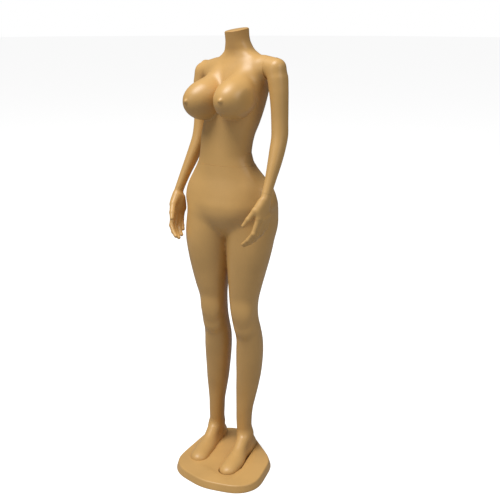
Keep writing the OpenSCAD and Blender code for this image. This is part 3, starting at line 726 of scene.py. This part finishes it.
def rounded(points, passes):
    """Each pass moves every point of a closed outline to the middle of its neighbours."""
    p = np.array(points)
    for _ in range(passes):
        p = (np.roll(p, 1, axis=0) + 2 * p + np.roll(p, -1, axis=0)) / 4
    return [tuple(q) for q in p]


def even(points, count):
    """The same closed outline with its points evenly spaced."""
    p = np.array(points + points[:1])
    run = np.concatenate([[0], np.cumsum(np.hypot(*np.diff(p, axis=0).T))])
    at = np.linspace(0, run[-1], count, endpoint=False)
    return [(x, y) for x, y in zip(np.interp(at, run, p[:, 0]), np.interp(at, run, p[:, 1]))]


def ring_solid(name, circles, profile, matrix=None, soften=0):
    """A closed solid of outlines, one for each (grow, height) of the profile."""
    heap = Solids()
    heap.rings([[(x, y, z) for x, y in outline(circles, grow, soften)] for grow, z in profile], matrix)
    return mesh_object(name, heap.points, heap.faces)


def combine(obj, other, operation):
    """Joins another solid to obj, or cuts it out, and removes it."""
    boolean = obj.modifiers.new("combine", "BOOLEAN")
    boolean.object = other
    boolean.operation = operation
    boolean.solver = "EXACT"
    bake(obj)
    mesh = other.data
    bpy.data.objects.remove(other)
    bpy.data.meshes.remove(mesh)


def make_base():
    """The base with its flared side, its hollow, and a recess with a peg hole under each foot."""
    body = [(BASE_FLARE, 1.5), (BASE_FLARE, 3.0), (7.6, 8.0), (5.6, 15.0), (3.6, 21.0)]
    body += [(2.9, 23.6), (2.0, 25.4), (0.7, 26.8), (-1.0, 27.6), (-3.2, BASE_H)]
    obj = ring_solid("base_moulding", BASE_CIRCLES, body, soften=30)
    cavity = [(BASE_FLARE - WALL, -2.0), (BASE_FLARE - WALL, 3.0), (0.0, 23.0), (-4.0, BASE_H - WALL)]
    combine(obj, ring_solid("cavity", BASE_CIRCLES, cavity, soften=30), "DIFFERENCE")
    for side in (-1, 1):
        at = foot_matrix(side) @ Matrix.Translation((0, 0, -SOLE_Z))
        well = [(FOOT_GAP + WALL, SOLE_Z - WALL), (FOOT_GAP + WALL, BASE_H - 2.0)]
        combine(obj, ring_solid("well", FOOT_CIRCLES, well, at), "UNION")
    turn = np.arange(32) * 2 * np.pi / 32
    bore = [(PEG_BORE * math.cos(a), PEG_BORE * math.sin(a) + PEG_BACK) for a in turn]
    for side in (-1, 1):
        at = foot_matrix(side) @ Matrix.Translation((0, 0, -SOLE_Z))
        lip = [(FOOT_GAP - 1.0, SOLE_Z), (FOOT_GAP, SOLE_Z + 1.0), (FOOT_GAP, BASE_H - 1.2)]
        lip += [(FOOT_GAP + 0.4, BASE_H - 0.4), (FOOT_GAP + 1.4, BASE_H + 0.2)]
        lip += [(FOOT_GAP + 1.6, BASE_H + 2)]
        combine(obj, ring_solid("lip", FOOT_CIRCLES, lip, at), "DIFFERENCE")
        heap = Solids()
        heap.rings([[(x, y, z) for x, y in bore] for z in (5.0, SOLE_Z + 5)], at)
        combine(obj, mesh_object("peg_hole", heap.points, heap.faces), "DIFFERENCE")
    return obj


def make_neck_plate():
    """The oval cap on the neck's cut: each step of its profile gives two half widths and a height."""
    heap = Solids()
    profile = [(34, 35, -6), (34, 35, 0.15), (38.4, 39.4, 0.15), (39, 40, 0.6)]
    profile += [(39, 40, 1.2), (38.6, 39.6, 1.8), (38, 39, 2.15), (0.5, 0.5, 2.15)]
    angles = np.arange(96) * 2 * np.pi / 96
    ovals = [[(a * math.cos(t), b * math.sin(t), z) for t in angles] for a, b, z in profile]
    heap.rings(ovals, neck_matrix())
    return mesh_object("neck_plate", heap.points, heap.faces)


# ---- Materials ----
def nodes_of(name):
    """A new material with its node tree and its shader."""
    mat = bpy.data.materials.new(name)
    mat.use_nodes = True
    tree = mat.node_tree
    return mat, tree, tree.nodes["Principled BSDF"]


def noise(tree, where, scale, detail=3.0, stretch=(1, 1, 1)):
    """Noise over the object's own coordinates, in metres."""
    mapping = tree.nodes.new("ShaderNodeMapping")
    mapping.inputs["Scale"].default_value = stretch
    tree.links.new(where, mapping.inputs["Vector"])
    tex = tree.nodes.new("ShaderNodeTexNoise")
    tex.inputs["Scale"].default_value = scale
    tex.inputs["Detail"].default_value = detail
    tree.links.new(mapping.outputs["Vector"], tex.inputs["Vector"])
    return tex.outputs["Fac"]


def ramp(tree, value, stops):
    """A colour ramp with stops of (place, colour)."""
    node = tree.nodes.new("ShaderNodeValToRGB")
    elements = node.color_ramp.elements
    while len(elements) < len(stops):
        elements.new(0.5)
    for element, (at, colour) in zip(elements, stops):
        element.position = at
        element.color = (*colour, 1)
    tree.links.new(value, node.inputs["Fac"])
    return node.outputs["Color"]


def mapped(tree, value, low, high, from_low=0.3, from_high=0.7):
    """Brings a value's range to low..high."""
    node = tree.nodes.new("ShaderNodeMapRange")
    node.inputs["From Min"].default_value = from_low
    node.inputs["From Max"].default_value = from_high
    node.inputs["To Min"].default_value = low
    node.inputs["To Max"].default_value = high
    tree.links.new(value, node.inputs["Value"])
    return node.outputs["Result"]


def bumped(tree, bsdf, heights):
    """Chains bump nodes: each height is (value, strength, distance)."""
    last = None
    for value, strength, distance in heights:
        bump = tree.nodes.new("ShaderNodeBump")
        bump.inputs["Strength"].default_value = strength
        bump.inputs["Distance"].default_value = distance
        tree.links.new(value, bump.inputs["Height"])
        if last is not None:
            tree.links.new(last, bump.inputs["Normal"])
        last = bump.outputs["Normal"]
    tree.links.new(last, bsdf.inputs["Normal"])


def blended(tree, factor, a, b):
    """A mix of two colours; each is an output or a plain colour."""
    node = tree.nodes.new("ShaderNodeMix")
    node.data_type = "RGBA"
    tree.links.new(factor, node.inputs["Factor"])
    for socket, value in (("A", a), ("B", b)):
        target = [s for s in node.inputs if s.name == socket and s.type == "RGBA"][0]
        if isinstance(value, tuple):
            target.default_value = (*value, 1)
        else:
            tree.links.new(value, target)
    return [s for s in node.outputs if s.type == "RGBA"][0]


def skin_material(name, colour, rough=0.42):
    """Satin lacquer on moulded plastic: faint mottling, orange peel, rubbed patches and fine scuffs."""
    mat, tree, bsdf = nodes_of(name)
    where = tree.nodes.new("ShaderNodeTexCoord").outputs["Object"]
    darker = tuple(c * 0.93 for c in colour)
    lighter = tuple(min(1, c * 1.05) for c in colour)
    mottled = ramp(tree, noise(tree, where, 9, 4), [(0.3, darker), (0.7, lighter)])
    scuff = ramp(tree, noise(tree, where, 60, 6, (1, 1, 0.12)), [(0.63, (0, 0, 0)), (0.72, (1, 1, 1))])
    faint = mapped(tree, scuff, 0, 0.10, 0, 1)
    pale = tuple(min(1, c * 1.18 + 0.03) for c in colour)
    tree.links.new(blended(tree, faint, mottled, pale), bsdf.inputs["Base Color"])
    rubbed = mapped(tree, noise(tree, where, 14, 5), rough - 0.05, rough + 0.07)
    tree.links.new(rubbed, bsdf.inputs["Roughness"])
    bsdf.inputs["Specular IOR Level"].default_value = 0.5
    bsdf.inputs["Coat Weight"].default_value = 0.12
    bsdf.inputs["Coat Roughness"].default_value = 0.3
    peel = noise(tree, where, 900, 2)
    wave = noise(tree, where, 45, 2)
    bumped(tree, bsdf, [(wave, 0.04, 0.002), (peel, 0.05, 0.0004)])
    return mat


def grained_material(name, colour, rough, stretch=(1, 1, 1), metallic=1.0, scale=400):
    """Metal, board, nylon or rubber: uneven tone, and a fine grain in the roughness and the relief."""
    mat, tree, bsdf = nodes_of(name)
    where = tree.nodes.new("ShaderNodeTexCoord").outputs["Object"]
    tone = noise(tree, where, scale / 10, 4)
    darker = tuple(c * 0.85 for c in colour)
    tree.links.new(ramp(tree, tone, [(0.3, darker), (0.7, colour)]), bsdf.inputs["Base Color"])
    grain = noise(tree, where, scale, 3, stretch)
    tree.links.new(mapped(tree, grain, rough - 0.08, rough + 0.1), bsdf.inputs["Roughness"])
    bsdf.inputs["Metallic"].default_value = metallic
    bumped(tree, bsdf, [(grain, 0.12, 0.0003)])
    return mat


SKIN = (0.64, 0.375, 0.125)
skin = skin_material("satin_skin", SKIN)
MATERIALS = {
    "skin": skin,
    "steel": grained_material("turned_steel", (0.62, 0.63, 0.65), 0.28, (1, 1, 12)),
    "zinc": grained_material("zinc_plate", (0.60, 0.62, 0.62), 0.38),
    "plate": grained_material("powder_coat", (0.30, 0.31, 0.33), 0.55, metallic=0.0, scale=1500),
    "nylon": grained_material("natural_nylon", (0.78, 0.75, 0.66), 0.5, metallic=0.0, scale=700),
    "rubber": grained_material("black_rubber", (0.03, 0.03, 0.032), 0.8, metallic=0.0, scale=900),
}
for row in frame["record"]["subparts"]:
    node = frame["nodes"][row["node"]]
    node.data.materials.clear()
    node.data.materials.append(MATERIALS[row["material_slot"]])


def finish_piece(obj, body, *replaced):
    """Gives a moulding its material, and lets it ride on its body in place of the CAD nodes."""
    to_metres(obj)
    shade(obj)
    obj.data.materials.clear()
    obj.data.materials.append(skin)
    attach(obj, body)
    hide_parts(*replaced)


finish_piece(make_base(), "base", "base_shell")
finish_piece(make_legs(), "legs", "lower_body")
finish_piece(make_torso(), "torso", "torso_shell")
finish_piece(make_neck_plate(), "torso", "neck_cap")
for side in (1, -1):
    finish_piece(make_arm(side), word(side) + "_arm", word(side) + "_arm_shell")
    finish_piece(make_hand(side), word(side) + "_hand", word(side) + "_hand")


# ---- Stage, light and camera ----
def only_seen(obj):
    """Shows a stage piece to the camera's rays only, so that it neither lights nor shades the figure."""
    for rays in ("diffuse", "glossy", "transmission", "shadow", "volume_scatter"):
        setattr(obj, "visible_" + rays, False)


def stage_material(name, grey, glow):
    """A matt grey that also glows."""
    mat, tree, bsdf = nodes_of(name)
    bsdf.inputs["Base Color"].default_value = (grey, grey, grey, 1)
    bsdf.inputs["Roughness"].default_value = 0.9
    bsdf.inputs["Specular IOR Level"].default_value = 0.0
    bsdf.inputs["Emission Color"].default_value = (1, 1, 1, 1)
    bsdf.inputs["Emission Strength"].default_value = glow
    return mat


def make_stage():
    """A pale floor and backdrop for the camera, and a darker floor that only bounces light."""
    half = 40
    corners = [(-half, -half), (half, -half), (half, half), (-half, half)]
    floor = mesh_object("floor", [(x, y, 0) for x, y in corners], [(0, 1, 2, 3)])
    floor.data.materials.append(stage_material("pale_floor", 0.5, 0.86))
    only_seen(floor)
    bounce = mesh_object("floor_bounce", [(x, y, -0.002) for x, y in corners], [(0, 1, 2, 3)])
    bounce.data.materials.append(stage_material("floor_bounce", 0.38, 0.0))
    bounce.visible_camera = False
    bm = bmesh.new()
    bmesh.ops.create_uvsphere(bm, u_segments=32, v_segments=16, radius=38)
    mesh = bpy.data.meshes.new("backdrop")
    bm.to_mesh(mesh)
    bm.free()
    backdrop = bpy.data.objects.new("backdrop", mesh)
    bpy.context.scene.collection.objects.link(backdrop)
    mesh.materials.append(stage_material("pale_backdrop", 0.0, 1.0))
    only_seen(backdrop)


def softbox(name, at, towards, size, power):
    """A rectangular area light, in watts, turned towards a point."""
    light = bpy.data.lights.new(name, "AREA")
    light.shape = "RECTANGLE"
    light.size, light.size_y = size
    light.energy = power
    obj = bpy.data.objects.new(name, light)
    bpy.context.scene.collection.objects.link(obj)
    obj.location = at
    obj.rotation_euler = (Vector(towards) - Vector(at)).to_track_quat("-Z", "Y").to_euler()


make_stage()
# One strong light overhead, and two weak ones that lift the shadows
softbox("overhead", (-1.5, -2.2, 7.0), (0.0, 0.0, 0.8), (3.5, 3.5), 450)
softbox("side", (3.4, -1.4, 3.2), (0.0, 0.0, 1.2), (1.6, 2.4), 34)
softbox("front", (-2.8, -3.6, 2.6), (0.0, 0.0, 1.2), (1.6, 1.6), 16)
world = bpy.data.worlds.new("studio")
world.use_nodes = True
world.node_tree.nodes["Background"].inputs["Color"].default_value = (1, 1, 1, 1)
world.node_tree.nodes["Background"].inputs["Strength"].default_value = 0.17
bpy.context.scene.world = world
bpy.context.scene.view_settings.view_transform = "Standard"

# The photograph's viewpoint: a little above the shoulders and to the figure's left
camera = bpy.data.objects.new("camera", bpy.data.cameras.new("camera"))
camera.data.lens = 64.8
camera.data.sensor_width = 36
camera.location = (1.131, -2.868, 1.707)
camera.rotation_euler = (math.radians(74.21), 0, math.radians(20))
bpy.context.scene.collection.objects.link(camera)
bpy.context.scene.camera = camera
